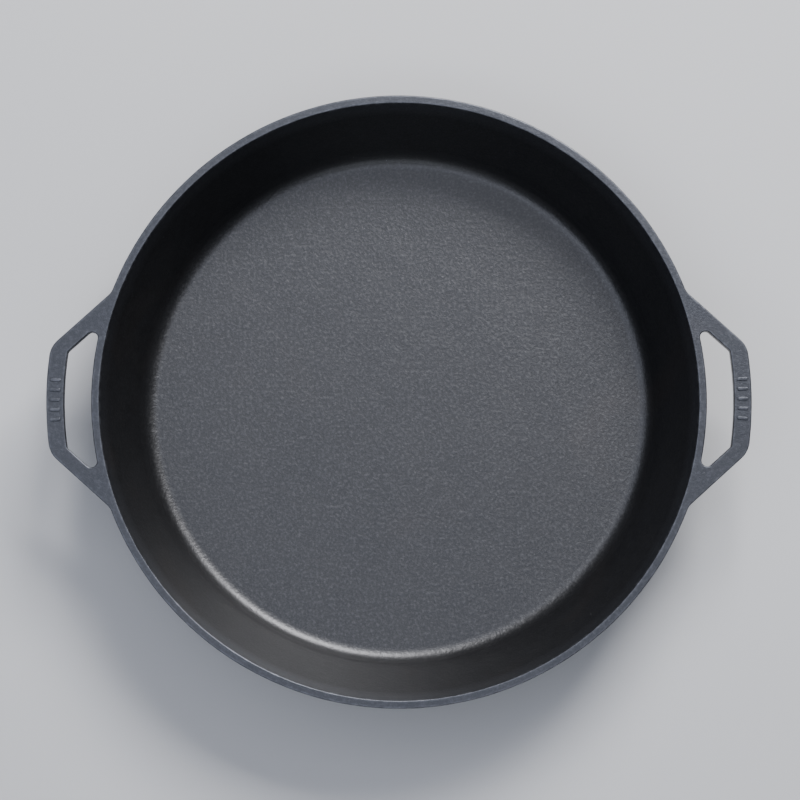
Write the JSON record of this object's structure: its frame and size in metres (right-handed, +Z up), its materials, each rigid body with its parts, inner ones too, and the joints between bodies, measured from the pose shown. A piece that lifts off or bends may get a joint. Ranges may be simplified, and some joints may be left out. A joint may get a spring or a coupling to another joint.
{
  "type": "cast iron skillet",
  "caption": "Large round cast iron pan with a flat floor, sloped wall, narrow flat-topped rim and a flat loop handle on each side, for frying, searing and baking.",
  "frame": {"origin": "centre of the flat underside, which is also the bottom centre of the bounding box", "axes": "+Z up out of the pan's mouth, the two handles lie along +X and -X"},
  "size_m": [0.499, 0.4354, 0.0757],
  "materials": {
    "seasoned_iron": "seasoned as-cast iron, fine pebbled texture, satin"
  },
  "bodies": {
    "root": {"cooking_floor": "seasoned_iron", "heel_ring": "seasoned_iron", "side_wall": "seasoned_iron", "rim_band": "seasoned_iron", "left_handle_arm_front": "seasoned_iron", "left_handle_grip_bar": "seasoned_iron", "left_handle_arm_back": "seasoned_iron", "right_handle_arm_front": "seasoned_iron", "right_handle_grip_bar": "seasoned_iron", "right_handle_arm_back": "seasoned_iron", "left_grip_rib_1": "seasoned_iron", "left_grip_rib_2": "seasoned_iron", "left_grip_rib_3": "seasoned_iron", "left_grip_rib_4": "seasoned_iron", "left_grip_rib_5": "seasoned_iron", "right_grip_rib_1": "seasoned_iron", "right_grip_rib_2": "seasoned_iron", "right_grip_rib_3": "seasoned_iron", "right_grip_rib_4": "seasoned_iron", "right_grip_rib_5": "seasoned_iron"}
  },
  "joints": []
}
